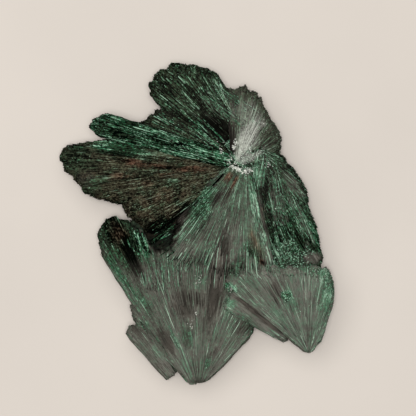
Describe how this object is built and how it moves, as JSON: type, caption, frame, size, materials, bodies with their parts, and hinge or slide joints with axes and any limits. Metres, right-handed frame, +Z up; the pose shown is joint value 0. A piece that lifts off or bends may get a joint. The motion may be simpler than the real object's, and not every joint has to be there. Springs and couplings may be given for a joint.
{
  "type": "fibrous malachite specimen",
  "caption": "Natural cluster of dark green fibrous mineral fans that radiate from shared points, with rounded rims and a flat broken back.",
  "frame": {"origin": "middle of the plan on the plane that the specimen rests on", "axes": "+Z up, out of the fans; +X right and +Y away from the foot of the specimen, seen from above"},
  "size_m": [0.069, 0.081, 0.0247],
  "materials": {
    "malachite": "silky fibrous, dark green with paler and brownish streaks"
  },
  "bodies": {
    "root": {"malachite": "malachite"}
  },
  "joints": []
}
